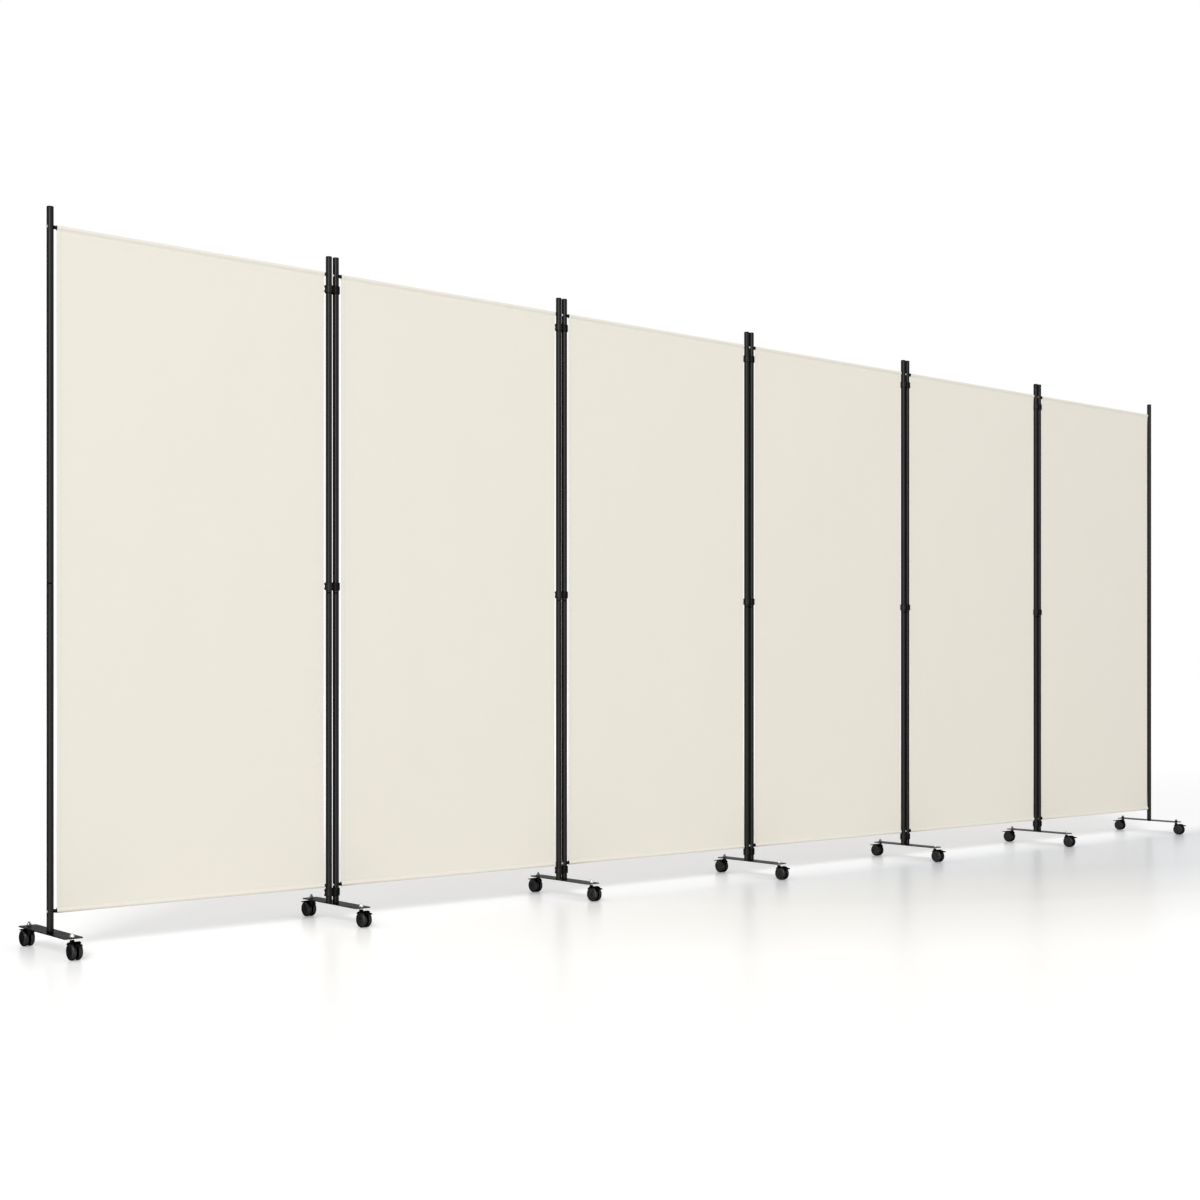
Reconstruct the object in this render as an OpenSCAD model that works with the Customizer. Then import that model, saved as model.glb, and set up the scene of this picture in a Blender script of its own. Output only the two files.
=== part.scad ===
// Folding room divider: six cloth panels in tube frames, joined side by side by
// ring clips and carried on seven narrow feet with braked twin-wheel casters.
// Millimetres. +X runs along the row, -Y is the front, +Z is up.
// The origin lies on the floor under the middle of the straight row.

/* [Row] */
// Height from the floor to the tops of the posts
overall_height = 1732; // [1500:1:2100]
// Distance between the two post axes of one panel
panel_pitch = 752; // [500:1:950]
// Distance between the axes of two posts that stand side by side
pair_spacing = 21; // [20:0.5:26]

/* [Posts] */
// Outer diameter of a post tube
post_d = 16; // [13:0.5:17]
// Wall of a post tube
post_wall = 1.2; // [0.8:0.1:1.6]
// Height of the joint between the lower and the upper half of a post
joint_height = 857; // [600:1:1200]
// Height of the rounded edges that meet at the joint
joint_round = 1.6; // [0.5:0.1:2.5]
// Height of the locking hole above the joint
button_rise = 36; // [28:1:60]
// Diameter of the locking hole
button_d = 5.4; // [4:0.1:6]
// How deep the spring button lies in that hole
button_sink = 0.5; // [0.2:0.1:1]
// Thickness of the cap on top of a post
cap_h = 3; // [2:0.5:6]
// Depth of the plugs that caps and foot plugs push into the tube
plug_depth = 14; // [8:1:18]

/* [Crossbars] */
// Outer diameter of the bars that carry the cloth
bar_d = 9.5; // [9:0.5:14]
// Wall of a bar
bar_wall = 1; // [0.7:0.1:1.5]
// Distance from the tops of the posts down to the axis of the upper bar
upper_bar_drop = 47; // [35:0.1:70]
// Height of the axis of the lower bar above the floor
lower_bar_height = 96.5; // [96:0.5:130]
// Diameter of the plug that shows between a post and the cloth
bar_plug_d = 8.6; // [8:0.1:8.9]
// Distance from a post axis to the end of a bar
bar_end = 15.5; // [13:0.5:25]
// Diameter of the screw that holds a bar to its post
bar_screw_d = 4; // [3:0.5:4.5]
// Diameter of the hole through which that screw is driven
access_d = 8.5; // [7.5:0.1:9]

/* [Cloth] */
// Thickness of the cloth
cloth_t = 0.8; // [0.4:0.1:1.5]
// Distance from a post axis to the side edge of the cloth
cloth_margin = 15.5; // [14:0.5:30]
// Free space between a bar and its pocket in the cloth
pocket_gap = 0.3; // [0.3:0.1:1]
// Distance from a bar axis to the seam that closes its pocket
seam_drop = 10.9; // [9:0.1:20]

/* [Ring clips] */
// Height of a ring clip
clip_h = 20; // [17:1:24]
// Wall of its rings
clip_wall = 2.6; // [1.8:0.1:3]
// Chamfer on the rims of the rings
clip_chamfer = 0.8; // [0.2:0.1:1]
// Radial space between the fixed ring and its post
clip_seat_gap = 0.05; // [0.02:0.01:0.2]
// Radial space between the turning post and its ring
clip_turn_gap = 0.1; // [0.05:0.01:0.1]
// Distance from the tops of the posts down to the middle of the upper clip
upper_clip_drop = 85; // [75:1:120]
// Distance from the joint up to the middle of the middle clip
middle_clip_rise = 17; // [16:0.5:18]
// Height of the middle of the lower clip above the floor
lower_clip_height = 78; // [77.5:0.5:79]
// Distance between the two screws of a clip
clip_screw_pitch = 12; // [8:0.5:13]
// Diameter of a clip screw
clip_screw_d = 3; // [2.5:0.1:3.5]
// Diameter of its head
clip_head_d = 6.4; // [5:0.1:7]
// Height of its head
clip_head_h = 2.8; // [1.5:0.1:2.8]

/* [Feet] */
// Width of a foot plate
plate_w = 45; // [36:1:60]
// Length of a foot plate
plate_l = 266; // [220:1:330]
// Thickness of a foot plate
plate_t = 2.5; // [2:0.5:4]
// Radius of its corners
plate_corner = 6; // [2:1:12]
// Height of its underside above the floor
plate_under = 47.5; // [46:0.5:52]
// Distance from the post axis to a caster stem
stem_offset = 121; // [90:1:125]
// Diameter of the bolt that holds a post to its foot plate
foot_bolt_d = 6; // [5:0.5:6]
// Gap between a hanging post and the foot plate that it swings over
hang_gap = 0.5; // [0.3:0.1:1]

/* [Casters] */
// Diameter of a wheel
wheel_d = 40; // [34:0.5:40]
// Width over both wheels of a caster
wheels_w = 27; // [24:0.5:32]
// Gap between the two wheels
wheel_gap = 6; // [5:0.5:7]
// Radius of the rounded outer shoulder of a wheel
wheel_round = 5.5; // [3:0.5:6]
// Distance from the stem axis to the axle
trail = 13; // [12:0.5:16]
// Diameter of the axle
axle_d = 5; // [4:0.5:6]
// Diameter of the stem
stem_d = 6; // [5:0.5:6]
// Height to which the threaded stem rises above its foot plate
stem_rise = 9.5; // [7:0.5:14]
// Diameter of the neck of the fork, around the stem
neck_d = 11; // [10:0.5:12]
// Free height of stem between the neck and the foot plate
neck_gap = 3; // [2:0.5:4]
// Thickness of the fender over the wheels
fender_t = 1; // [0.8:0.1:1.5]
// Width of the tab of the brake lever
lever_w = 15; // [12:0.5:20]
// Distance from the axle to the tip of the brake lever
lever_reach = 29; // [26:0.5:32]
// Thickness of the tab of the brake lever
lever_t = 2.4; // [1.5:0.1:3]
// Height of the tab's tip below the tops of the wheels
lever_drop = 3; // [2:0.5:6]
// Angle by which the brake lever is pressed down
lever_press = 8; // [3:0.5:10]

/* [Hidden] */
$fn = 64;
panel_count = 6;
foot_count = panel_count + 1;
eps = 0.01;
// Radial space around a pin that turns in its bore
turn_gap = 0.05;
// Space around a screw or plug that is held fast, and between pieces that bear on each other
held_gap = 0.02;
// Free space beside pieces that move past each other
side_gap = 0.7;

post_r = post_d / 2;
post_ri = post_r - post_wall;
plate_top = plate_under + plate_t;
tube_foot = plate_top + 2.5;
tube_top = overall_height - cap_h;
neck_len = button_rise + 13;
neck_wall = 1.15;
swage_r = post_ri - turn_gap;
bar_r = bar_d / 2;
bar_ri = bar_r - bar_wall;
upper_bar_z = overall_height - upper_bar_drop;
bar_heights = [lower_bar_height, upper_bar_z];
bar_head_d = 8;
// The flat face of a screw head inside a round tube bears on the tube's inner wall
bar_head_x = sqrt(post_ri * post_ri - bar_head_d * bar_head_d / 4) - held_gap;
// The head is a deep sleeve, whose bright end lies in the hole on the far side of the post
bar_head_h = bar_head_x + post_ri;
bar_plug_len = 20;
clip_heights = [
    lower_clip_height,
    joint_height + middle_clip_rise,
    overall_height - upper_clip_drop
];
clip_r = post_r + clip_wall;
clip_seat_x = clip_r - 0.4;
step_x = panel_pitch + pair_spacing;
row_w = panel_count * panel_pitch + (panel_count - 1) * pair_spacing;
nut_af = 10;
nut_h = 5;
stem_collar_d = 9;
stem_collar_h = 1;
bolt_head_d = 11;
bolt_head_h = 3;
wheel_r = wheel_d / 2;
wheel_w = (wheels_w - wheel_gap) / 2;
web_w = wheel_gap - 2 * side_gap;
neck_top = plate_under - neck_gap;
socket_floor = wheel_r + 14;
// Radii of the fender about the axle, and the angles at which it begins and ends
fender_in = wheel_r + 0.6;
fender_out = fender_in + fender_t;
fender_from = 63;
fender_to = 140;
// The brake lever turns on a pin between the wheels
pivot_y = trail + 0.35 * wheel_r;
pivot_z = wheel_r * 1.6;
pivot_d = 2;
pivot_hub_r = 2.4;
tongue_w = 1.8;
lever_tip_z = wheel_d - lever_drop;

panels = [1 : panel_count];
feet = [1 : foot_count];
sides = ["front", "back"];
panel_parts = ["fabric", "frame", "foot"];
caster_parts = ["swivel", "wheels", "brake"];

function panel_node(k, part) = str("panel_", k, "_", part);
function caster_node(f, side, part) = str("caster_", f, "_", side, "_", part);

// Where the posts stand
function left_post_x(k) = -row_w / 2 + (k - 1) * step_x;
function right_post_x(k) = left_post_x(k) + panel_pitch;
// Each foot stands under the left post of its panel, and the last one under the last post
function foot_x(f) = f <= panel_count ? left_post_x(f) : right_post_x(panel_count);

// A round bar along X from x0 to x1
module x_bar(d, x0, x1) {
    translate([x0, 0, 0]) rotate([0, 90, 0]) cylinder(d = d, h = x1 - x0);
}

// A flat outline drawn in Y and Z, given its width along X about the middle
module yz_plate(w) {
    translate([-w / 2, 0, 0]) rotate([90, 0, 90]) linear_extrude(w) children();
}

// Place of the locking hole, on the side of a post that faces its panel
module at_button() {
    translate([0, 0, joint_height + button_rise]) children();
}

// Lower half of a post: tube with a swaged neck that enters the upper half
module lower_tube() {
    rotate_extrude() polygon([
        [post_ri, tube_foot],
        [post_r - 0.5, tube_foot],
        [post_r, tube_foot + 0.8],
        [post_r, joint_height - joint_round],
        [post_r - 0.25, joint_height - joint_round / 3],
        [post_r - 0.7, joint_height],
        [swage_r, joint_height],
        [swage_r, joint_height + neck_len - 1],
        [swage_r - 0.5, joint_height + neck_len],
        [swage_r - neck_wall, joint_height + neck_len],
        [swage_r - neck_wall, joint_height - 3],
        [post_ri, joint_height - 7]
    ]);
}

// Upper half of a post
module upper_tube() {
    rotate_extrude() polygon([
        [post_ri, joint_height + held_gap],
        [post_r - 0.7, joint_height + held_gap],
        [post_r - 0.25, joint_height + joint_round / 3],
        [post_r, joint_height + joint_round],
        [post_r, tube_top],
        [post_ri, tube_top]
    ]);
}

// Holes for the screw of a crossbar: a small one towards the panel, a wide one opposite
module bar_holes(z) {
    translate([0, 0, z]) {
        x_bar(bar_screw_d + 0.4, 0, post_r + 1);
        x_bar(access_d, -post_r - 1, 0);
    }
}

// Holes for the screws of the ring clips that lie between two heights
module clip_screw_holes(z0, z1) {
    for (z = clip_heights, dz = [-1, 1]) {
        hole_z = z + dz * clip_screw_pitch / 2;
        if (hole_z > z0 && hole_z < z1)
            translate([0, 0, hole_z]) x_bar(clip_screw_d + 0.2, 0, post_r + 1);
    }
}

// Rounded plastic cap with its plug, pushed into the top of a post
module post_cap() {
    edge = min(1.4, cap_h / 2);
    bottom = tube_top + held_gap;
    rotate_extrude() {
        translate([0, tube_top - plug_depth])
            square([post_ri - turn_gap, plug_depth + cap_h / 2]);
        translate([0, bottom]) square([post_r, overall_height - edge - bottom]);
        translate([0, bottom]) square([post_r - edge, overall_height - bottom]);
        intersection() {
            translate([post_r - edge, overall_height - edge]) circle(edge);
            square([post_r, overall_height]);
        }
    }
}

// Plastic plug in the foot of a post, with its flange under the tube
module foot_plug(flange_z, bolted) {
    bore_r = bolted ? foot_bolt_d / 2 + held_gap : 0;
    top = tube_foot + plug_depth;
    rotate_extrude() polygon([
        [bore_r, flange_z],
        [post_r - 0.3, flange_z],
        [post_r, flange_z + 0.3],
        [post_r, tube_foot - held_gap],
        [post_ri - turn_gap, tube_foot - held_gap],
        [post_ri - turn_gap, top - 1],
        [post_ri - turn_gap - 1, top],
        [bore_r, top]
    ]);
}

// Spring button in the locking hole of the two halves of a post
module snap_button() {
    tip = post_r - button_sink;
    at_button() rotate([0, 90, 0]) rotate_extrude() polygon([
        [0, 3],
        [button_d / 2, 3],
        [button_d / 2, tip - 1],
        [button_d / 2 - 0.8, tip - 0.2],
        [button_d / 2 - 1.8, tip],
        [0, tip]
    ]);
}

// One post, seen with its panel on the +X side
module post(hanging, clipped) {
    difference() {
        lower_tube();
        bar_holes(lower_bar_height);
        at_button() x_bar(button_d + 0.4, 0, post_r + 1);
        if (clipped) clip_screw_holes(tube_foot, joint_height + neck_len);
    }
    difference() {
        upper_tube();
        bar_holes(upper_bar_z);
        at_button() x_bar(button_d + 0.4, 0, post_r + 1);
        if (clipped) clip_screw_holes(joint_height, tube_top);
    }
    post_cap();
    foot_plug(hanging ? plate_top + hang_gap : plate_top + held_gap, !hanging);
    snap_button();
}

// A screw along X: flat head that ends at x0, then the shank up to x1
module x_screw(head_d, head_h, shank_d, x0, x1) {
    rotate([0, 90, 0]) rotate_extrude() polygon([
        [0, x0 - head_h],
        [head_d / 2 - 0.8, x0 - head_h],
        [head_d / 2 - 0.2, x0 - head_h + 0.5],
        [head_d / 2, x0 - head_h + 1],
        [head_d / 2, x0],
        [shank_d / 2, x0],
        [shank_d / 2, x1 - 1],
        [shank_d / 2 - 0.7, x1],
        [0, x1]
    ]);
}

// End of a crossbar, seen with its post on the -X side: plug and screw
module bar_end_fitting() {
    bore_r = bar_screw_d / 2 + held_gap;
    difference() {
        rotate([0, 90, 0]) rotate_extrude() polygon([
            [bore_r, 0],
            [bar_plug_d / 2, 0],
            [bar_plug_d / 2, bar_end - held_gap],
            [bar_ri - turn_gap, bar_end - held_gap],
            [bar_ri - turn_gap, bar_end + bar_plug_len - 1],
            [bar_ri - turn_gap - 0.6, bar_end + bar_plug_len],
            [bore_r, bar_end + bar_plug_len]
        ]);
        translate([0, 0, -bar_d]) cylinder(r = post_r + held_gap, h = 2 * bar_d);
    }
    x_screw(bar_head_d, bar_head_h, bar_screw_d, bar_head_x, bar_end + bar_plug_len - 3);
}

// One crossbar with its end fittings, from the left post axis to the right one
module crossbar() {
    difference() {
        x_bar(bar_d, bar_end, panel_pitch - bar_end);
        x_bar(2 * bar_ri, bar_end - 1, panel_pitch - bar_end + 1);
    }
    bar_end_fitting();
    translate([panel_pitch, 0, 0]) mirror([1, 0, 0]) bar_end_fitting();
}

// Ring of a clip, closed by default
module clip_ring() {
    rotate_extrude() polygon([
        [0, 0],
        [clip_r - clip_chamfer, 0],
        [clip_r, clip_chamfer],
        [clip_r, clip_h - clip_chamfer],
        [clip_r - clip_chamfer, clip_h],
        [0, clip_h]
    ]);
}

// Figure-of-eight clip: the ring at the origin is screwed to its post, the other post turns
module ring_clip() {
    difference() {
        union() {
            clip_ring();
            translate([pair_spacing, 0, 0]) clip_ring();
            translate([0, -clip_r * 0.55, clip_chamfer])
                cube([pair_spacing, clip_r * 1.1, clip_h - 2 * clip_chamfer]);
        }
        translate([0, 0, -1]) cylinder(r = post_r + clip_seat_gap, h = clip_h + 2);
        translate([pair_spacing, 0, -1])
            cylinder(r = post_r + clip_turn_gap, h = clip_h + 2);
        // Flat seat for the two screw heads
        translate([-clip_seat_x - 5, -clip_r, -1]) cube([5, 2 * clip_r, clip_h + 2]);
        for (dz = [-1, 1])
            translate([0, 0, clip_h / 2 + dz * clip_screw_pitch / 2])
                x_bar(clip_screw_d + 0.2, -clip_r - 1, 0);
    }
}

// Screw of a clip, with its point towards +X
module clip_screw() {
    x_screw(clip_head_d, clip_head_h, clip_screw_d, -clip_seat_x - held_gap, -post_ri + 3);
}

// Frame of one panel: two posts, two crossbars and the ring clips on its right post
module panel_frame(k) {
    clipped = k < panel_count;
    color("#222222") {
        translate([left_post_x(k), 0, 0]) post(false, false);
        translate([right_post_x(k), 0, 0]) mirror([1, 0, 0]) post(clipped, clipped);
        for (z = bar_heights) translate([left_post_x(k), 0, z]) crossbar();
        if (clipped)
            for (z = clip_heights) translate([right_post_x(k), 0, z - clip_h / 2]) {
                ring_clip();
                for (dz = [-1, 1])
                    translate([0, 0, clip_h / 2 + dz * clip_screw_pitch / 2]) clip_screw();
            }
    }
}

// Cloth of one panel: a flat sheet with a sewn pocket round each bar
module panel_fabric(k) {
    cloth_w = panel_pitch - 2 * cloth_margin;
    pocket_r = bar_r + pocket_gap;
    outer_r = pocket_r + cloth_t;
    seam = max(seam_drop, outer_r + 0.2);
    // Angle at the bar axis between the seam and the point where the cloth leaves the bar
    beta = acos(outer_r / seam);
    color("#ebe7dc")
        translate([(left_post_x(k) + right_post_x(k)) / 2, 0, 0])
            difference() {
                union() {
                    translate([-cloth_w / 2, -cloth_t / 2, lower_bar_height])
                        cube([cloth_w, cloth_t, upper_bar_z - lower_bar_height]);
                    for (z = bar_heights) translate([0, 0, z])
                        x_bar(2 * outer_r, -cloth_w / 2, cloth_w / 2);
                    for (end = [[lower_bar_height, 1], [upper_bar_z, -1]])
                        translate([0, 0, end[0]]) yz_plate(cloth_w) polygon([
                            [0, 0],
                            [outer_r * sin(beta), end[1] * outer_r * cos(beta)],
                            [0, end[1] * seam],
                            [-outer_r * sin(beta), end[1] * outer_r * cos(beta)]
                        ]);
                }
                for (z = bar_heights) translate([0, 0, z])
                    x_bar(2 * pocket_r, -cloth_w / 2 - 1, cloth_w / 2 + 1);
            }
}

// Foot plate with rounded corners and its holes
module foot_plate() {
    difference() {
        linear_extrude(plate_t) {
            square([plate_w - 2 * plate_corner, plate_l], center = true);
            square([plate_w, plate_l - 2 * plate_corner], center = true);
            for (sx = [-1, 1], sy = [-1, 1])
                translate([
                    sx * (plate_w / 2 - plate_corner),
                    sy * (plate_l / 2 - plate_corner)
                ]) circle(plate_corner);
        }
        translate([0, 0, -1]) cylinder(d = foot_bolt_d + 0.5, h = plate_t + 2);
        for (sy = [-1, 1])
            translate([0, sy * stem_offset, -1]) cylinder(d = stem_d + 0.4, h = plate_t + 2);
    }
}

// Threaded caster stem with its collar under the plate
module stem() {
    top = plate_top + stem_rise;
    collar = plate_under - held_gap;
    rotate_extrude() polygon([
        [0, socket_floor + 0.2],
        [stem_d / 2, socket_floor + 0.2],
        [stem_d / 2, collar - stem_collar_h],
        [stem_collar_d / 2, collar - stem_collar_h],
        [stem_collar_d / 2, collar],
        [stem_d / 2, collar],
        [stem_d / 2, top - 0.8],
        [stem_d / 2 - 0.8, top],
        [0, top]
    ]);
}

// Hexagon nut that holds a stem
module stem_nut() {
    translate([0, 0, plate_top + held_gap]) difference() {
        intersection() {
            cylinder(d = nut_af / cos(30), h = nut_h, $fn = 6);
            cylinder(d1 = nut_af + 4, d2 = nut_af, h = nut_h);
        }
        translate([0, 0, -1]) cylinder(d = stem_d + 2 * held_gap, h = nut_h + 2);
    }
}

// Bolt that comes up through the plate into the post
module foot_bolt() {
    head_top = plate_under - held_gap;
    rotate([0, -90, 0])
        x_screw(bolt_head_d, bolt_head_h, foot_bolt_d, head_top, tube_foot + plug_depth - 3);
}

module foot_set() {
    translate([0, 0, plate_under]) foot_plate();
    foot_bolt();
    for (sy = [-1, 1]) translate([0, sy * stem_offset, 0]) {
        stem();
        stem_nut();
    }
}

// Feet of one panel: one under its left post, and on the last panel one at each end
module panel_foot(k) {
    color("#1c1c1c") {
        translate([foot_x(k), 0, 0]) foot_set();
        if (k == panel_count) translate([foot_x(foot_count), 0, 0]) foot_set();
    }
}

// Puts a caster, drawn with its stem on the Z axis and its axle towards +Y, under its foot
module at_caster(f, side) {
    translate([foot_x(f), (side == "front" ? -1 : 1) * stem_offset, 0])
        rotate(side == "front" ? 180 : 0)
            children();
}

// Fork of a caster: neck round the stem, web between the wheels and fender over them
module swivel() {
    color("#181818") difference() {
        union() {
            // Neck with a rounded shoulder
            translate([0, 0, wheel_r + 11]) cylinder(d = neck_d, h = neck_top - 1.6 - wheel_r - 11);
            translate([0, 0, neck_top - 1.6])
                cylinder(d1 = neck_d, d2 = neck_d - 1.6, h = 0.8);
            translate([0, 0, neck_top - 0.8])
                cylinder(d1 = neck_d - 1.6, d2 = neck_d - 3.6, h = 0.8);
            // Fender
            yz_plate(wheels_w - 2) translate([trail, wheel_r]) intersection() {
                difference() {
                    circle(fender_out);
                    circle(fender_in);
                }
                polygon([
                    [0, 0],
                    2 * wheel_d * [cos(fender_from), sin(fender_from)],
                    [0, 3 * wheel_d],
                    2 * wheel_d * [cos(fender_to), sin(fender_to)]
                ]);
            }
            // Web with the boss of the axle
            yz_plate(web_w) {
                translate([trail, wheel_r]) circle(axle_d / 2 + 3);
                polygon([
                    [-neck_d / 2 + 0.6, wheel_r + 16],
                    [-neck_d / 2 + 0.6, wheel_r + 10],
                    [trail - 9, wheel_r - 2],
                    [trail - 3, wheel_r - 4],
                    [trail + 1, wheel_r + 5],
                    [trail - 1, wheel_r + fender_in + 0.3],
                    [0, wheel_r + 16]
                ]);
            }
            // Tongue that carries the pin of the brake lever
            yz_plate(tongue_w) {
                translate([pivot_y, pivot_z]) circle(pivot_hub_r);
                polygon([
                    [trail - 1, wheel_r + 3],
                    [trail + 4, wheel_r + 1],
                    [pivot_y + pivot_hub_r, pivot_z],
                    [pivot_y - pivot_hub_r, pivot_z]
                ]);
            }
        }
        // The neck stays clear of both wheels
        for (x0 = [web_w / 2, -web_w / 2 - wheels_w])
            translate([0, trail, wheel_r])
                x_bar(2 * fender_in, x0, x0 + wheels_w);
        translate([0, 0, socket_floor]) cylinder(r = stem_d / 2 + turn_gap, h = plate_under);
        translate([0, trail, wheel_r]) x_bar(axle_d + 2 * turn_gap, -web_w, web_w);
        translate([0, pivot_y, pivot_z]) x_bar(pivot_d + 2 * turn_gap, -web_w, web_w);
    }
}

// One wheel about the Z axis, with its inner side at z = 0 and its hub open on that side
module wheel() {
    rim = 3;
    dish_r = wheel_r - wheel_round - 1.5;
    rotate_extrude() difference() {
        union() {
            square([wheel_r, wheel_w - wheel_round]);
            square([wheel_r - wheel_round, wheel_w]);
            intersection() {
                translate([wheel_r - wheel_round, wheel_w - wheel_round]) circle(wheel_round);
                square([wheel_r, wheel_w]);
            }
        }
        // Chamfer of the tread on the inner side
        polygon([[wheel_r - 0.8, -eps], [wheel_r + eps, -eps], [wheel_r + eps, 0.8]]);
        // Hollow between the hub and the rim, open towards the web
        translate([axle_d / 2 + 2.5, -eps])
            square([wheel_r - rim - axle_d / 2 - 2.5, wheel_w / 2]);
        translate([-eps, -eps]) square([axle_d / 2 + held_gap + eps, wheel_w - 2]);
        // Dished outer face with a raised centre
        translate([axle_d / 2 + 1.5, wheel_w - 0.7])
            square([dish_r - axle_d / 2 - 1.5, 1]);
    }
}

module wheels() {
    color("#262626") translate([0, trail, wheel_r]) {
        for (turn = [90, -90])
            rotate([0, turn, 0]) translate([0, 0, wheel_gap / 2]) wheel();
        x_bar(axle_d, -wheels_w / 2 + 2 + turn_gap, wheels_w / 2 - 2 - turn_gap);
    }
}

// Brake lever with its pin. Pressed down, its shoe stops a hair above the treads
module brake() {
    tip_y = trail + lever_reach;
    root_y = trail + fender_out * cos(fender_from) + 0.8;
    root_z = wheel_r + fender_out * sin(fender_from) + 0.4;
    slope = (lever_tip_z - root_z) / (tip_y - root_y);
    // The axle as the lever sees it when pressed down
    dy = trail - pivot_y;
    dz = wheel_r - pivot_z;
    axle_at = [
        pivot_y + dy * cos(lever_press) - dz * sin(lever_press),
        pivot_z + dy * sin(lever_press) + dz * cos(lever_press)
    ];
    color("#111111") {
        difference() {
            union() {
                // Cheeks and arm between the wheels
                yz_plate(web_w) {
                    translate([pivot_y, pivot_z]) circle(pivot_hub_r);
                    polygon([
                        [pivot_y - 1, pivot_z + pivot_hub_r - 0.6],
                        [root_y, root_z - 0.3],
                        [root_y + 5, root_z - 2],
                        [pivot_y + 5, pivot_z],
                        [pivot_y + 1, pivot_z - pivot_hub_r + 0.4]
                    ]);
                }
                // Tab with rounded corners
                intersection() {
                    yz_plate(lever_w) polygon([
                        [root_y, root_z],
                        [tip_y - 1, lever_tip_z - slope],
                        [tip_y, lever_tip_z - 0.8],
                        [tip_y, lever_tip_z - lever_t + 0.4],
                        [tip_y - 0.4, lever_tip_z - lever_t],
                        [root_y + 5, root_z + 5 * slope - lever_t - 0.6],
                        [root_y, wheel_r + 12]
                    ]);
                    linear_extrude(2 * wheel_d) {
                        translate([-lever_w / 2, 0]) square([lever_w, tip_y - 3]);
                        translate([-lever_w / 2 + 3, 0]) square([lever_w - 6, tip_y]);
                        for (sx = [-1, 1])
                            translate([sx * (lever_w / 2 - 3), tip_y - 3]) circle(3);
                    }
                }
            }
            // Shoe surfaces over both treads
            for (x0 = [web_w / 2, -web_w / 2 - wheels_w])
                translate([0, axle_at[0], axle_at[1]])
                    x_bar(2 * (wheel_r + 0.3), x0, x0 + wheels_w);
            // Slot for the tongue
            translate([0, pivot_y, pivot_z])
                x_bar(2 * pivot_hub_r + 1.2, -tongue_w / 2 - 0.2, tongue_w / 2 + 0.2);
            translate([-tongue_w / 2 - 0.2, pivot_y - 2 * pivot_hub_r, pivot_z - 2 * pivot_hub_r])
                cube([tongue_w + 0.4, 3.4 * pivot_hub_r, 2 * pivot_hub_r]);
            translate([0, pivot_y, pivot_z]) x_bar(pivot_d + 2 * held_gap, -web_w, web_w);
            // Grip grooves on the tab
            for (i = [0 : 2])
                translate([0, tip_y - 3.2 - 2.2 * i, lever_tip_z + 0.25 - slope * (3.2 + 2.2 * i)])
                    x_bar(1.2, -lever_w / 2 + 2, lever_w / 2 - 2);
        }
        translate([0, pivot_y, pivot_z]) x_bar(pivot_d, -web_w / 2 + 0.1, web_w / 2 - 0.1);
    }
}

for (k = panels) {
    panel_fabric(k);
    panel_frame(k);
    panel_foot(k);
}
for (f = feet, side = sides) {
    at_caster(f, side) swivel();
    at_caster(f, side) wheels();
    at_caster(f, side) brake();
}
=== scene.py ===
# %% [markdown]
# # A folding room divider, dressed for its portrait
# The object is a row of six cloth panels in slim black tube frames. Ring clips join the frames
# side by side, and seven narrow feet on braked twin-wheel casters carry them. The solids come
# from the CAD model, which also holds the joints, so nothing rigid is drawn again here.
# This lesson gives the solids their finishes, hangs real cloth with pockets, hems and stitches
# on the bars, cuts the threads of the caster stems, and lights the row on a pale studio floor.

# %% Load the CAD model
import math

import bmesh
import bpy
import numpy as np
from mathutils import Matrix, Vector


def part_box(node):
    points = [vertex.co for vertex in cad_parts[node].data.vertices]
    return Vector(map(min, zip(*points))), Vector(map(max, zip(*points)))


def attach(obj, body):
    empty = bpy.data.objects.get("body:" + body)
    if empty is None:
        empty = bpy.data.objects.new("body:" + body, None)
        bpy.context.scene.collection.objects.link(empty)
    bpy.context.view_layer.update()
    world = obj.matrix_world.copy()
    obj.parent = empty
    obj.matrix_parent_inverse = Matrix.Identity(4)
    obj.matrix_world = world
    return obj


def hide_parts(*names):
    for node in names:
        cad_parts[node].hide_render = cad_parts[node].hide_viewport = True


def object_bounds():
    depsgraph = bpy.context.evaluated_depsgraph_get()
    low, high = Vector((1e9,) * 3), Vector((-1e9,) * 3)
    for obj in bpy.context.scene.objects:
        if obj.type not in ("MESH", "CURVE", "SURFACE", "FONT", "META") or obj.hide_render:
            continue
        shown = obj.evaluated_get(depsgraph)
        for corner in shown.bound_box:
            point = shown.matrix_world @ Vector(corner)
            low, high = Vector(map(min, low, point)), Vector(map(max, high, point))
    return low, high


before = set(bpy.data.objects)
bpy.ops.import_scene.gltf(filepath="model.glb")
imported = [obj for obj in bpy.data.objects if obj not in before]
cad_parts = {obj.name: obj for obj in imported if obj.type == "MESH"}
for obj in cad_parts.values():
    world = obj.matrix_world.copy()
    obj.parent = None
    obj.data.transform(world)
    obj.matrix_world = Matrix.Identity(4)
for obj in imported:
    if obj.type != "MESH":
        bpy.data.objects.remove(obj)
cad_low, cad_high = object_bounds()
print("CAD box in metres:", [round(b - a, 3) for a, b in zip(cad_low, cad_high)])

# %% [markdown]
# ## Where things stand
# Every piece that is added has to meet the CAD solids, so its place is read from their boxes.
# Only sizes that no box shows, such as a post's radius, are written down here. A panel's cloth
# box gives its side edges and, less the radius of a sewn pocket, the heights of the two bars.
# The forks of the casters give the height of the foot plates.

# %% Read the places of posts, bars and stems
PANELS = range(1, 7)
POST_R = 0.008
CAD_POCKET_R = 0.00585
PANEL_PITCH = 0.752
TUBE_JOINT = 0.857
FORK_TO_PLATE = 0.003
PLATE = 0.0025

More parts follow.
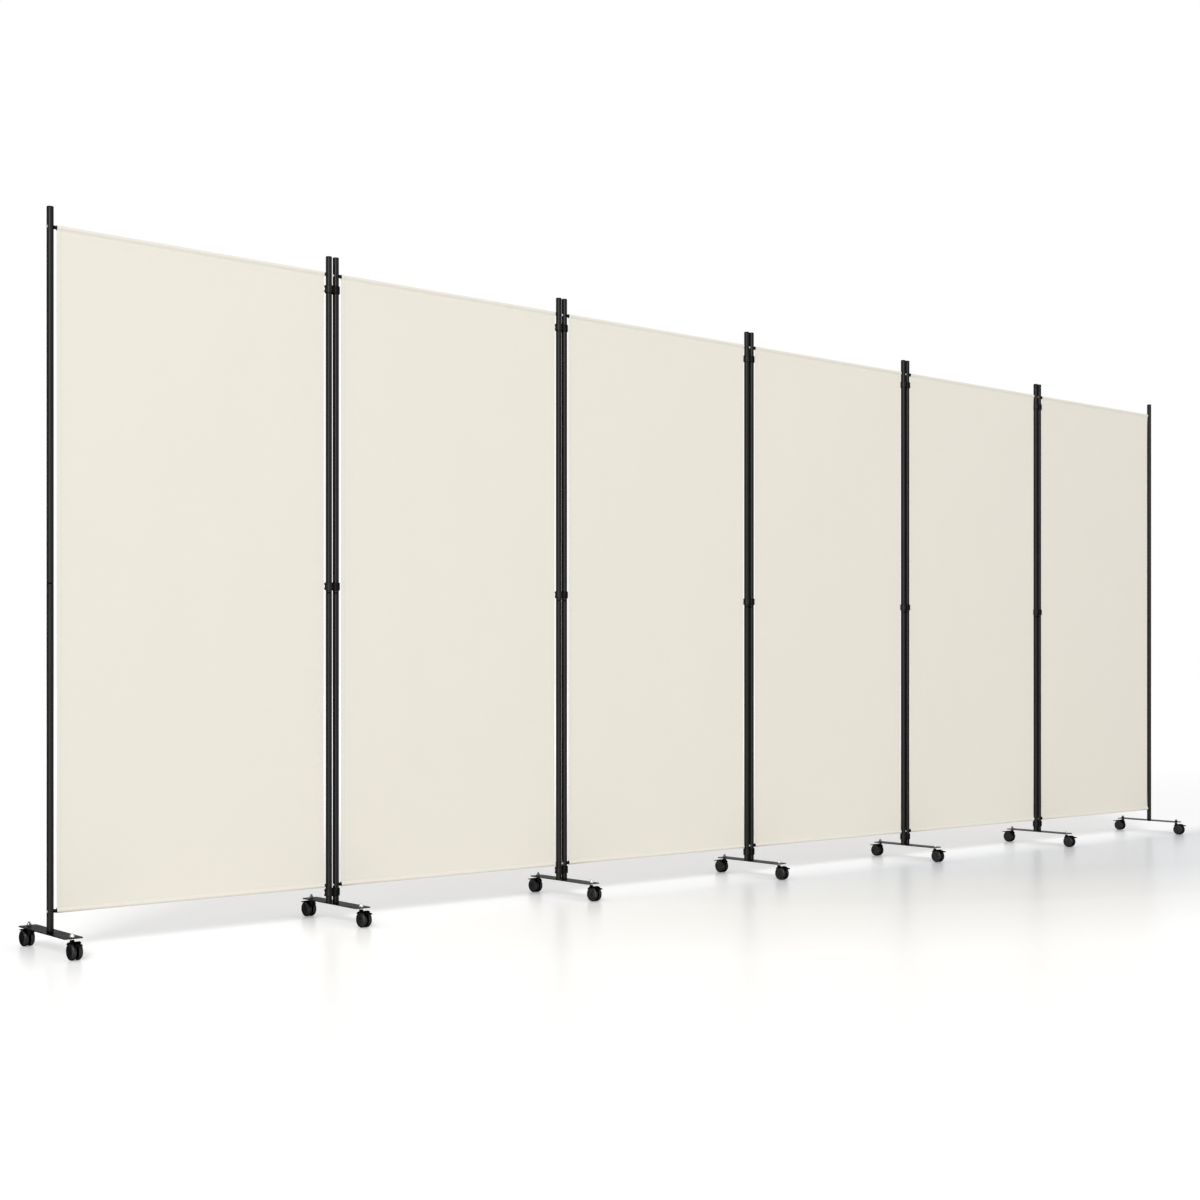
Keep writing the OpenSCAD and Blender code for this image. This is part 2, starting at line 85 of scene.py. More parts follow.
first_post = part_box("panel_1_frame")[0].x + POST_R
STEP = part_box("panel_2_fabric")[0].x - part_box("panel_1_fabric")[0].x
cloth_box = {k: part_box(f"panel_{k}_fabric") for k in PANELS}
CLOTH_WIDTH = cloth_box[1][1].x - cloth_box[1][0].x
lower_bar = cloth_box[1][0].z + CAD_POCKET_R
upper_bar = cloth_box[1][1].z - CAD_POCKET_R
post_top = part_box("panel_1_frame")[1].z
plate_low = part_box("caster_1_front_swivel")[1].z + FORK_TO_PLATE
plate_top = plate_low + PLATE
print(f"first post at x={first_post:.4f}, step {STEP:.4f}, bars at z={lower_bar:.4f}, {upper_bar:.4f}")
print(f"posts end at z={post_top:.4f}, foot plates lie from z={plate_low:.4f} to {plate_top:.4f}")

# %% [markdown]
# ## A bench for node trees
# Materials and Geometry Nodes are both trees of nodes, and they read best as plain arithmetic.
# One method puts every node on the bench: its type, then its settings, because some settings
# change the sockets, then the values and links. A small socket class carries a value from node
# to node and turns `a * 2 + b` into the Math nodes that do it.

# %% The bench and its sockets


class Wire:
    """A value on its way through a tree. Sums of wires and numbers become Math nodes."""

    def __init__(self, bench, socket):
        self.bench, self.socket = bench, socket

    def math(self, operation, *others):
        values = dict(enumerate((self, *others)))
        return self.bench.put("ShaderNodeMath", {"operation": operation}, values)

    def __add__(self, other):
        return self.math("ADD", other)

    def __sub__(self, other):
        return self.math("SUBTRACT", other)

    def __mul__(self, other):
        return self.math("MULTIPLY", other)

    def __truediv__(self, other):
        return self.math("DIVIDE", other)

    def __rsub__(self, other):
        return (self * -1.0) + other

    def __rtruediv__(self, other):
        return self.math("POWER", -1.0) * other

    def __pow__(self, other):
        return self.math("POWER", other)

    def __neg__(self):
        return self * -1.0

    def __abs__(self):
        return self.math("ABSOLUTE")

    def above(self, limit):
        return self.math("GREATER_THAN", limit)

    def below(self, limit):
        return self.math("LESS_THAN", limit)

    __radd__ = __add__
    __rmul__ = __mul__


class Bench:
    """A node tree, and the one method that makes a node in it."""

    def __init__(self, tree):
        self.tree = tree

    def put(self, kind, settings=None, values=None, take=0):
        node = self.tree.nodes.new(kind)
        for name, value in (settings or {}).items():
            setattr(node, name, value)
        for name, value in (values or {}).items():
            if isinstance(value, Wire):
                self.tree.links.new(value.socket, node.inputs[name])
            else:
                node.inputs[name].default_value = value
        return Wire(self, node.outputs[take]) if len(node.outputs) else node

    def split(self, vector):
        node = self.put("ShaderNodeSeparateXYZ", values={0: vector}).socket.node
        return [Wire(self, out) for out in node.outputs]

    def blend(self, share, colour_a, colour_b):
        settings = {"data_type": "RGBA"}
        return self.put("ShaderNodeMix", settings, {0: share, 6: colour_a, 7: colour_b}, take=2)

    def mix(self, share, a, b):
        return self.put("ShaderNodeMix", {"data_type": "FLOAT"}, {0: share, 2: a, 3: b})

    def noise(self, vector, scale, detail=2.0, roughness=0.5):
        values = {"Vector": vector, "Scale": scale, "Detail": detail, "Roughness": roughness}
        return self.put("ShaderNodeTexNoise", values=values)


def colour(red, green, blue):
    """A colour given as it shows on a screen, 0 to 255, as the linear one that Blender wants."""
    linear = [c / 255 / 12.92 if c < 10.3 else ((c / 255 + 0.055) / 1.055) ** 2.4
              for c in (red, green, blue)]
    return (*linear, 1.0)


print("cream as written (235, 232, 220) is", [round(c, 3) for c in colour(235, 232, 220)])

# %% [markdown]
# ## From a bench to a finish
# Each finish ends in one Principled shader. What is the same all over the surface goes on the
# shader's own socket, and only colour, roughness, metal and bump are wired. Height is given in
# metres, so a bump's size can be compared with the real surface.

# %% Open and close a finish


def new_finish(name):
    material = bpy.data.materials.new(name)
    material.use_nodes = True
    material.node_tree.nodes.clear()
    return material, Bench(material.node_tree)


def close_finish(bench, height=None, strength=1.0, **sockets):
    """Ends a finish in a Principled shader. height is the bump's, in metres."""
    values = {name.replace("_", " "): value for name, value in sockets.items()}
    if height is not None:
        values["Normal"] = bench.put(
            "ShaderNodeBump", values={"Strength": strength, "Distance": 1.0, "Height": height}
        )
    shader = bench.put("ShaderNodeBsdfPrincipled", values=values)
    bench.put("ShaderNodeOutputMaterial", values={"Surface": shader})


def object_place(bench):
    """The point on the object, in metres in the row's frame."""
    return bench.put("ShaderNodeTexCoord", take="Object")


print("finishes end in:", close_finish.__doc__)

# %% [markdown]
# ## The cloth's weave
# The real cloth is a cream polyester in plain weave: each thread goes over one and under the
# next. Two sets of rounded ridges do it, and a checker of odd and even threads says which set
# lies on top. The threads are about half a millimetre apart and don't show from across a room,
# but their unevenness does, as faint slubs along both directions. Along the stitches of the side
# hems the colour is painted a shade darker, as painted shade beside the stitches and the hem's
# step. The pattern reads the cloth's own UV map, in metres of cloth, so it turns round the bars
# with the pockets.

# %% Weave the cloth
THREAD_PITCH = 0.00055
THREAD_UNDER = 0.35
WEAVE_H = 0.00007
SLUB_H = 0.00008
SLUBS_ACROSS = 1100.0
SLUBS_ALONG = 14.0
HEM = 0.0118
HEM_STITCH = 0.0102
HEM_SHADE_W = 0.0024
CLOTH_DARK = colour(227, 222, 209)
CLOTH_LIGHT = colour(237, 233, 222)


def plain_weave(bench, across, along):
    """Height of a plain weave, from 0 to 1, at a place counted in threads."""
    odd_a, odd_b = across.math("FLOOR"), along.math("FLOOR")
    over = ((odd_a + odd_b) * 0.5).math("FRACT") * 2.0
    ridge_a = (across * math.pi).math("SINE").math("ABSOLUTE")
    ridge_b = (along * math.pi).math("SINE").math("ABSOLUTE")
    lift_a = ridge_b * 0.5 + 0.5
    lift_b = ridge_a * 0.5 + 0.5
    warp = ridge_a * (over * lift_a + (1.0 - over) * THREAD_UNDER)
    weft = ridge_b * ((1.0 - over) * lift_b + over * THREAD_UNDER)
    return warp.math("MAXIMUM", weft)


def slubs(bench, place, per_metre):
    """Slow unevenness along threads that run one way, centred on 0."""
    scaled = bench.put("ShaderNodeVectorMath", {"operation": "MULTIPLY"}, {0: place, 1: per_metre})
    return bench.noise(scaled, 1.0, 3.0, 0.6) - 0.5


def woven_cloth(name):
    material, bench = new_finish(name)
    place = bench.put("ShaderNodeUVMap", {"uv_map": "Cloth"})
    across, along, _ = bench.split(place)
    weave = plain_weave(bench, across / THREAD_PITCH, along / THREAD_PITCH)
    upright = slubs(bench, place, (SLUBS_ACROSS, SLUBS_ALONG, 1.0))
    level = slubs(bench, place, (SLUBS_ALONG, SLUBS_ACROSS, 1.0))
    broad = bench.noise(place, 3.0, 2.0) - 0.5
    side = across.math("MINIMUM", CLOTH_WIDTH - across)
    # Painted shade: the colour turns darker along the side hem stitches, beside the stitches and the
    # hem's step.
    stitch_shade = 1.0 - (abs(side - HEM_STITCH) / HEM_SHADE_W).math("MINIMUM", 1.0)
    tone = upright * 0.30 + level * 0.34 + broad * 0.20 + weave * 0.35 + 0.33 - stitch_shade * 0.35
    shade = bench.blend(tone, CLOTH_DARK, CLOTH_LIGHT)
    height = weave * WEAVE_H + (upright + level) * SLUB_H
    close_finish(
        bench, height, 0.5, Base_Color=shade, Roughness=0.92, Specular_IOR_Level=0.2,
        Sheen_Weight=0.06, Sheen_Roughness=0.5,
    )
    return material


cloth_finish = woven_cloth("cream_plain_weave")
print("cloth finish:", cloth_finish.name, "with threads", THREAD_PITCH * 1000, "mm apart")

# %% [markdown]
# ## Which part of a frame is what
# A frame node holds painted tubes, moulded plastic and screws together, as one assembly. Boxes
# and cylinders in object coordinates can tell them apart, which costs no geometry. The panels
# repeat with one step, so the distance from the nearest post is found once for all of them by
# wrapping x with that step.

# %% Distances from the nearest post
WRAP_BEFORE = 0.09


def from_posts(bench, x):
    """x counted from the nearest post axis, wherever in the row the point is."""
    wrapped = (x - (first_post - WRAP_BEFORE)).math("WRAP", STEP, 0.0) - WRAP_BEFORE
    right = wrapped - PANEL_PITCH
    near_left = abs(wrapped).below(abs(right))
    return bench.mix(near_left, right, wrapped)


def radius(a, b):
    return (a * a + b * b) ** 0.5


def within(value, low, high):
    return value.above(low) * value.below(high)


def ramp(value, width):
    """A value over a width, held between 0 and 1."""
    return (value / width).math("MAXIMUM", 0.0).math("MINIMUM", 1.0)


print("posts repeat every", round(STEP, 4), "m, and a panel's two posts are", PANEL_PITCH, "m apart")

# %% [markdown]
# ## Powder coat on the frames
# The tubes are steel with a satin black powder coat, which dries with a very fine orange peel.
# Noise gives that as bump and as small changes of gloss. What one sees of such black is only its
# sheen: a grey stripe down the middle of each post, which dies away towards both edges. The
# metal model is used for it, with the sheen as its colour, because there the edge can be set
# black; the other model always turns the edges white. Tubes are ground round and round before
# they are coated, which draws the sheen out along the post. The caps, plugs and ring clips are
# black nylon, duller, with a mould grain. The ends of the bar screws shine through the holes in
# the posts in bright zinc. Where the two tubes of a post meet, a near-black line is painted as
# painted shade in the groove between them.

# %% Finish the frames
SKIN = 0.00001
CAP_H = 0.003
NYLON_REACH = 0.0154
CLIP_HEAD_FROM = 0.0104
CLIP_HEAD_R = 0.0033
SCREW_SHOWN = 0.0029
TUBE_INSIDE = 0.00686
JOINT_SHADE_HALF_H = 0.0021
JOINT_SHADE_FADE = 0.0012
PEEL_H = 0.00003
MOULD_GRAIN_H = 0.00002
EDGE_BLACK = (0.0, 0.0, 0.0, 1.0)


def frame_finish(name):
    material, bench = new_finish(name)
    place = object_place(bench)
    x, y, z = bench.split(place)
    out = from_posts(bench, x)
    ring = radius(out, y)
    nylon = within(ring, POST_R + 3 * SKIN, NYLON_REACH)
    nylon = nylon.math("MAXIMUM", z.above(post_top - CAP_H + SKIN))
    head = within(ring, CLIP_HEAD_FROM, NYLON_REACH) * abs(y).below(CLIP_HEAD_R)
    from_bar = abs(z - lower_bar).math("MINIMUM", abs(z - upper_bar))
    screw = radius(y, from_bar).below(SCREW_SHOWN) * abs(out).below(TUBE_INSIDE)
    # Painted shade: a near-black line in the groove where the two tubes of a post meet.
    joint_shade = ramp(JOINT_SHADE_HALF_H - abs(z - TUBE_JOINT), JOINT_SHADE_FADE)
    peel = bench.noise(place, 900.0, 3.0, 0.55)
    grain = bench.noise(place, 2600.0, 2.0, 0.6)
    dust = bench.noise(place, 9.0, 4.0, 0.6)
    paint = bench.blend(dust, colour(42, 42, 41), colour(49, 49, 48))
    moulded = bench.blend(grain, colour(24, 24, 24), colour(34, 34, 34))
    black = bench.blend(nylon, bench.blend(joint_shade, paint, colour(8, 8, 8)), moulded)
    zinc = bench.blend(grain, colour(214, 216, 218), colour(236, 237, 238))
    gloss = bench.mix(nylon, 0.40 + (dust - 0.5) * 0.08, 0.54 + (grain - 0.5) * 0.10)
    gloss = bench.mix(head, gloss, 0.34)
    height = bench.mix(nylon, peel * PEEL_H, grain * MOULD_GRAIN_H)
    close_finish(
        bench, height, 0.6, Base_Color=bench.blend(screw, black, zinc), Roughness=gloss,
        Metallic=1.0, Specular_Tint=EDGE_BLACK, Anisotropic=0.7, Anisotropic_Rotation=0.25,
    )
    return material


frame_black = frame_finish("satin_black_frame")
print("frame finish:", frame_black.name)

# %% [markdown]
# ## Feet of coated plate and bright zinc
# A foot is a flat steel plate with the same black coat, a little glossier. Seen from a low
# angle it mirrors the white studio in grey, and the posts in it as dark streaks. The caster
# stems in front, their nuts and the bolt under the post are bright zinc; the photograph shows
# the rear stems and nuts dulled, and they get a darker copy of the zinc as painted shade from
# the cloth in front of them. They are told from the plate by their distance from the
# stem's axis, and by whether they stand above or below the plate.

# %% Finish the feet
STEM_OFFSET = 0.121
NUT_CORNER = 0.0059
BOLT_HEAD = 0.0056
REAR_FROM = 0.05
SPANGLE_H = 0.000015
EDGE_GREY = (0.25, 0.25, 0.26, 1.0)


def stem_zinc_with_shade(bench, y, spangle):
    """Zinc, bright on the stems in front; those behind get a darker copy as painted shade from the
    cloth.
    """
    bright = bench.blend(spangle, colour(224, 226, 229), colour(246, 247, 248))
    # Painted shade: the stems and nuts behind the cloth get this darker zinc.
    dull = bench.blend(spangle, colour(128, 129, 131), colour(166, 167, 168))
    return bench.blend(y.above(REAR_FROM), bright, dull)


def foot_finish(name):
    material, bench = new_finish(name)
    place = object_place(bench)
    x, y, z = bench.split(place)
    out = from_posts(bench, x)
    stem = radius(out, abs(y) - STEM_OFFSET)
    clear_of_plate = 1.0 - within(z, plate_low - SKIN, plate_top + SKIN)
    bolt = radius(out, y).below(BOLT_HEAD) * z.below(plate_low - SKIN)
    zinc = (stem.below(NUT_CORNER) * clear_of_plate).math("MAXIMUM", bolt)
    peel = bench.noise(place, 1100.0, 3.0, 0.55)
    dust = bench.noise(place, 14.0, 4.0, 0.6)
    spangle = bench.noise(place, 700.0, 2.0, 0.7)
    paint = bench.blend(dust, colour(51, 51, 50), colour(60, 60, 59))
    # The zinc here carries painted shade on the stems behind the cloth.
    plating = stem_zinc_with_shade(bench, y, spangle)
    gloss = bench.mix(zinc, 0.28 + (dust - 0.5) * 0.12, 0.26 + (spangle - 0.5) * 0.16)
    height = bench.mix(zinc, peel * PEEL_H, spangle * SPANGLE_H)
    close_finish(
        bench, height, 0.5, Base_Color=bench.blend(zinc, paint, plating), Roughness=gloss,
        Metallic=1.0, Specular_Tint=EDGE_GREY,
    )
    return material


foot_black = foot_finish("coated_plate_and_zinc")
print("foot finish:", foot_black.name)

# %% [markdown]
# ## Moulded casters
# Forks, wheels and brake levers are injection-moulded nylon. A sparked mould leaves a fine
# grain, the plastic's flow leaves broad cloudy patches, and the levers are a little glossier
# where shoes rub them. The same recipe serves all three with different numbers.

# %% Finish the casters


def moulded_finish(name, dark, light, dull, grain_height):
    material, bench = new_finish(name)
    place = object_place(bench)
    grain = bench.noise(place, 1900.0, 3.0, 0.6)
    flow = bench.noise(place, 130.0, 3.0, 0.6)
    cloudy = ramp(flow * 1.6 + grain * 0.4 - 0.5, 1.0)
    shade = bench.blend(cloudy, colour(dark, dark, dark), colour(light, light, light))
    close_finish(
        bench, grain * grain_height, 0.6, Base_Color=shade,
        Roughness=dull + (flow - 0.5) * 0.2, Metallic=1.0, Specular_Tint=EDGE_BLACK,
    )
    return material


fork_finish = moulded_finish("fork_nylon", dark=18, light=34, dull=0.48, grain_height=0.00003)
wheel_finish = moulded_finish("wheel_nylon", dark=34, light=68, dull=0.42, grain_height=0.00002)
brake_finish = moulded_finish("brake_nylon", dark=18, light=36, dull=0.38, grain_height=0.00003)
print("caster finishes:", fork_finish.name, wheel_finish.name, brake_finish.name)

# %% Give the CAD nodes their finishes
FINISH_BY_ENDING = {
    "frame": frame_black,
    "foot": foot_black,
    "swivel": fork_finish,
    "wheels": wheel_finish,
    "brake": brake_finish,
}
for name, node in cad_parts.items():
    finish = FINISH_BY_ENDING.get(name.rsplit("_", 1)[1])
    if finish:
        for slot in node.material_slots:
            slot.material = finish
print("finished nodes:", sum(n.rsplit("_", 1)[1] in FINISH_BY_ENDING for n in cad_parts))

# %% [markdown]
# ## The cloth of a panel
# On the real divider one length of cloth is hemmed at both sides, turned round each bar and
# sewn into a pocket, and stretched between the bars. It is drawn here the way it is sewn: one
# line runs up the flap behind the upper bar, round the bar, down the front, round the lower bar
# and up the flap behind it. The line is swept across the panel and given the cloth's thickness,
# which is doubled in the side hems. A simulation would add little, because stretched cloth is
# flat, and a swept line keeps the pockets clear of the bars.

# %% The line that the cloth follows
CLOTH = 0.0005
POCKET_R = 0.0053
SEAM_DROP = 0.0078
FLAP = 0.0045
LEAN_FORWARD = 0.0015
LEAN_FADE = 0.035
POCKET_POINTS = 31
FLAP_STOPS = (0, 0.15, 0.4, 0.9, 1)
ROWS_BY_SEAM = (0.0004, 0.0008, 0.0014, FLAP - 0.0006, FLAP, FLAP + 0.0006, 0.009, 0.016)
EVEN_ROWS_FROM = 0.03
EVEN_ROWS = 58
FLAP_SHOWS = 0.011


def pocket_line(bar_height, side):
    """Round one bar, from the seam at the back to the seam in front; side is 1 at the top."""
    free = math.acos(POCKET_R / math.hypot(SEAM_DROP, LEAN_FORWARD))
    skew = math.atan2(LEAN_FORWARD, SEAM_DROP)
    turn = np.linspace(free - skew - math.pi / 2, 1.5 * math.pi - free - skew, POCKET_POINTS)
    line = np.stack([POCKET_R * np.cos(turn), bar_height + side * POCKET_R * np.sin(turn)], 1)
    return line if side > 0 else line[::-1]


def forward(gap):
    """How far the cloth hangs in front of the bars' plane, at a distance from the seam."""
    return -LEAN_FORWARD * np.exp(-np.asarray(gap, float) / LEAN_FADE)


def body_line(top_seam, low_seam):
    """The stretched cloth in front, from the upper seam down to the lower one."""
    ease, span = np.array(ROWS_BY_SEAM), top_seam - low_seam
    even = np.linspace(EVEN_ROWS_FROM, span - EVEN_ROWS_FROM, EVEN_ROWS)
    rows = np.r_[0.0, ease, even, span - ease[::-1], span]
    gap = np.minimum(rows, span - rows)
    doubled = np.clip(1 - (gap - FLAP) / FLAP_SHOWS, 0, 1)
    return np.stack([forward(gap) - CLOTH / 2 * doubled, top_seam - rows], 1)


def flap_line(seam, side, stops):
    """The turned-in end of the cloth, behind the body; the stops run from the seam, 0 to 1."""
    gap = FLAP * np.asarray(stops, float)
    return np.stack([forward(gap) + CLOTH / 2, seam - side * gap], 1)


def cloth_line():
    """The cloth's middle line in y and z, from the upper flap's end to the lower one's."""
    top_seam, low_seam = upper_bar - SEAM_DROP, lower_bar + SEAM_DROP
    return np.concatenate([
        flap_line(top_seam, 1, FLAP_STOPS[::-1]),
        pocket_line(upper_bar, 1),
        body_line(top_seam, low_seam),
        pocket_line(lower_bar, -1),
        flap_line(low_seam, -1, FLAP_STOPS),
    ])


line = cloth_line()
round_bar = np.zeros(len(line), bool)
round_bar[len(FLAP_STOPS):len(FLAP_STOPS) + POCKET_POINTS] = True
round_bar |= round_bar[::-1]

# %% [markdown]
# ## Hems and seams press the cloth
# A row of stitches pulls the cloth in by a tenth of a millimetre, and a folded hem makes it
# twice as thick. Both are told by the distance from the side edge and from the pocket seams. The
# numbers below are what a loupe would show on such cloth.

# %% How thick the cloth is at a place
EDGE_ROUND = 0.0004
EDGE_SHARE = 0.35
FOLD_BULGE = 0.00012
FOLD_END = HEM + 0.0002
FOLD_FADE = 0.0003
STITCH_DENT = 0.00010
HEM_DENT_W = 0.0005
SEAM_DENT_W = 0.0006
EVEN_COLUMNS_FROM = 0.026
EVEN_COLUMNS = 52


def dent(distance, width):
    return np.exp(-((distance / width) ** 2))


def side_columns(width):
    """Distances from the left edge at which the cloth's mesh has a column."""
    stitch = HEM_STITCH + np.array([-0.001, -0.0005, 0, 0.0005, 0.001])
    fold = HEM + np.array([-0.0002, 0, 0.0003, 0.0009])
    edge = np.r_[0, 0.00015, EDGE_ROUND, 0.001, 0.004, 0.007, stitch, fold, 0.015]
    middle = np.linspace(EVEN_COLUMNS_FROM, width - EVEN_COLUMNS_FROM, EVEN_COLUMNS)
    return np.r_[edge, middle, width - edge[::-1]]


def half_thickness(side, seam_gap):
    """Half the cloth's thickness, side being the distance from the nearer side edge."""
    rounded = np.clip(side / EDGE_ROUND, 0, 1) ** 0.5
    folded = np.clip((FOLD_END - side) / FOLD_FADE, 0, 1)
    half = CLOTH / 2 * (EDGE_SHARE + (1 - EDGE_SHARE) * rounded) + FOLD_BULGE * folded * rounded
    half = half - STITCH_DENT * dent(side - HEM_STITCH, HEM_DENT_W)
    return half - STITCH_DENT * dent(seam_gap, SEAM_DENT_W)


columns = side_columns(CLOTH_WIDTH)
print(f"{len(columns)} columns; hems {HEM * 1000:.1f} mm wide, stitched at {HEM_STITCH * 1000:.1f} mm")

# %% Sweep the line into cloth
LEVEL_WAVE = 0.00016
LEVEL_RATE = 31
UPRIGHT_WAVE = 0.00022
UPRIGHT_RATE = 6.3
EDGE_PULL = 0.0006
PULL_REACH = 0.05
STILL_BY_BAR = 0.012


def outward(points):
    """For each point of a line, the side that faces away from the bars."""
    along = np.gradient(points, axis=0)
    along /= np.linalg.norm(along, axis=1)[:, None]
    return np.stack([along[:, 1], -along[:, 0]], 1)


def cloth_surfaces(k):
    """Outer and inner surface of panel k's cloth as grids of points, and the cloth's own map."""
    left, width = cloth_box[k][0].x, cloth_box[k][1].x - cloth_box[k][0].x
    across = side_columns(width)
    side = np.minimum(across, width - across)
    steps = np.r_[0, np.cumsum(np.linalg.norm(np.diff(line, axis=0), axis=1))]
    seams = np.array([upper_bar - SEAM_DROP, lower_bar + SEAM_DROP])
    flat = ~round_bar
    gap = np.where(flat, np.abs(line[:, 1][:, None] - seams).min(1), 1.0)
    half = half_thickness(side[None, :], gap[:, None])
    height, middle = line[:, 1][:, None], across[None, :] / width
    still, span = lower_bar + STILL_BY_BAR, upper_bar - lower_bar - 2 * STILL_BY_BAR
    share = np.clip((height - still) / span, 0, 1)
    free = (np.sin(np.pi * share) ** 0.5) * flat[:, None]
    sway = LEVEL_WAVE * np.sin(across[None, :] * LEVEL_RATE + 2.1 * k + 3 * share)
    sway = sway + UPRIGHT_WAVE * np.sin(height * UPRIGHT_RATE + 1.7 * k) * np.cos(np.pi * middle)
    pull = EDGE_PULL * np.sin(np.pi * share) * dent(side[None, :], PULL_REACH)
    pull = pull * np.sign(middle - 0.5)
    normal = outward(line)
    x = left + across[None, :] - pull * flat[:, None]
    grids = []
    for face in (1, -1):
        y = line[:, :1] + face * normal[:, :1] * half + free * sway
        z = line[:, 1:] + face * normal[:, 1:] * half
        grids.append(np.stack(np.broadcast_arrays(x, y, z), -1))
    uv = np.stack(np.broadcast_arrays(across[None, :], steps[:, None]), -1)
    return grids[0], grids[1], uv


outer, inner, uv = cloth_surfaces(1)
print(f"one cloth has {2 * outer.shape[0] * outer.shape[1]} points and its thickness is "
      f"{np.linalg.norm(outer - inner, axis=-1).max() * 1000:.2f} mm at most")

# %% [markdown]
# ## One closed skin
# The two grids become one closed mesh: outer faces, inner faces turned the other way, and a rim
# that joins them all round. The cloth's own map is stored as UVs in metres, the same on both
# sides, so that the weave matches at the edges.

# %% Make a mesh of each cloth


def grid_faces(rows, cols, first, turned):
    i, j = np.meshgrid(np.arange(rows - 1), np.arange(cols - 1), indexing="ij")
    a = first + i * cols + j
    quads = np.stack([a, a + 1, a + cols + 1, a + cols], -1).reshape(-1, 4)
    return quads[:, ::-1] if turned else quads


def rim_faces(rows, cols):
    """Quads that join the rims of two grids of the same size, stored one after the other."""
    r, c = np.arange(rows), np.arange(cols)
    ring = np.r_[c, r[1:] * cols + cols - 1, (rows - 1) * cols + c[-2::-1], r[-2:0:-1] * cols]
    nxt = np.roll(ring, -1)
    other = rows * cols
    return np.stack([nxt, ring, ring + other, nxt + other], -1)


def cloth_mesh(name, outer, inner, uv):
    rows, cols = outer.shape[:2]
    points = np.concatenate([outer.reshape(-1, 3), inner.reshape(-1, 3)])
    faces = np.concatenate([
        grid_faces(rows, cols, 0, True),
        grid_faces(rows, cols, rows * cols, False),
        rim_faces(rows, cols),
    ])
    mesh = bpy.data.meshes.new(name)
    mesh.from_pydata(points.tolist(), [], faces.tolist())
    layer = mesh.uv_layers.new(name="Cloth")
    flat_uv = np.concatenate([uv.reshape(-1, 2)] * 2)
    corners = np.empty(len(mesh.loops), np.int32)
    mesh.loops.foreach_get("vertex_index", corners)
    layer.data.foreach_set("uv", flat_uv[corners].ravel())
    mesh.shade_smooth()
    return mesh


def add_piece(name, mesh, finish):
    piece = bpy.data.objects.new(name, mesh)
    bpy.context.scene.collection.objects.link(piece)
    mesh.materials.clear()
    mesh.materials.append(finish)
    return piece


cloths = {}
for k in PANELS:
    mesh = cloth_mesh(f"panel_{k}_cloth", *cloth_surfaces(k))
    cloths[k] = add_piece(f"panel_{k}_cloth", mesh, cloth_finish)

measured = bmesh.new()
measured.from_mesh(mesh)
volume = measured.calc_volume(signed=True)
measured.free()
print(f"six cloths of {len(mesh.polygons)} faces; the last holds {volume * 1e6:.0f} cm3 of cloth")

# %% [markdown]
# ## Stitches
# Lockstitch rows hold the side hems and close the pockets. Thousands of equal stitches along a
# line are work for Geometry Nodes: the tree walks along each line, sets a point for every
# stitch, puts a grain-shaped stitch there and turns it along the seam. A seed makes the lengths
# a little uneven. The result is baked into one mesh for each panel.

# %% A tree that sews along lines
STITCH_SEGMENTS = 6
STITCH_RINGS = 4


def new_tree(name, inputs):
    """A Geometry Nodes tree with named inputs after its geometry, as (name, type, value)."""
    tree = bpy.data.node_groups.new(name, "GeometryNodeTree")
    tree.interface.new_socket(name="Geometry", in_out="INPUT", socket_type="NodeSocketGeometry")
    tree.interface.new_socket(name="Geometry", in_out="OUTPUT", socket_type="NodeSocketGeometry")
    for label, kind, value in inputs:
        socket = tree.interface.new_socket(name=label, in_out="INPUT", socket_type=kind)
        if value is not None:
            socket.default_value = value
    bench = Bench(tree)
    start = bench.put("NodeGroupInput").socket.node
    return tree, bench, {out.name: Wire(bench, out) for out in start.outputs if out.name}


def sewing_tree():
    tree, bench, given = new_tree("sew_along_lines", [
        ("Stitch length", "NodeSocketFloat", 0.0026),
        ("Gap", "NodeSocketFloat", 0.0007),
        ("Thread width", "NodeSocketFloat", 0.00042),
        ("Seed", "NodeSocketInt", 7),
        ("Thread", "NodeSocketMaterial", None),
    ])
    seam = bench.put("GeometryNodeMeshToCurve", values={"Mesh": given["Geometry"]})
    pitch = given["Stitch length"] + given["Gap"]
    walk = bench.put("GeometryNodeCurveToPoints", {"mode": "LENGTH"}, {"Curve": seam, "Length": pitch})
    tangent = Wire(bench, walk.socket.node.outputs["Tangent"])
    turn = bench.put("FunctionNodeAlignRotationToVector", {"axis": "Z"}, {"Vector": tangent})
    uneven = bench.put(
        "FunctionNodeRandomValue", {"data_type": "FLOAT"},
        {"Min": 0.9, "Max": 1.06, "Seed": given["Seed"]}, take=1,
    )
    size = bench.put("ShaderNodeCombineXYZ", values={
        0: given["Thread width"], 1: given["Thread width"], 2: given["Stitch length"] * uneven,
    })
    grain = bench.put("GeometryNodeMeshUVSphere", values={
        "Segments": STITCH_SEGMENTS, "Rings": STITCH_RINGS, "Radius": 0.5,
    })
    sewn = bench.put("GeometryNodeInstanceOnPoints", values={
        "Points": walk, "Instance": grain, "Rotation": turn, "Scale": size,
    })
    real = bench.put("GeometryNodeRealizeInstances", values={"Geometry": sewn})
    done = bench.put("GeometryNodeSetMaterial", values={"Geometry": real, "Material": given["Thread"]})
    bench.put("NodeGroupOutput", values={"Geometry": done})
    return tree


sewing = sewing_tree()
print("sewing tree:", len(sewing.nodes), "nodes")

# %% [markdown]
# ## Baking a tree into a plain mesh
# A modifier's inputs are set by the socket's identifier before the object is first looked at.
# The evaluated object is then copied into a plain mesh, and the helper goes away, so no
# modifier is left on the finished piece.

# %% Bake a tree on a mesh


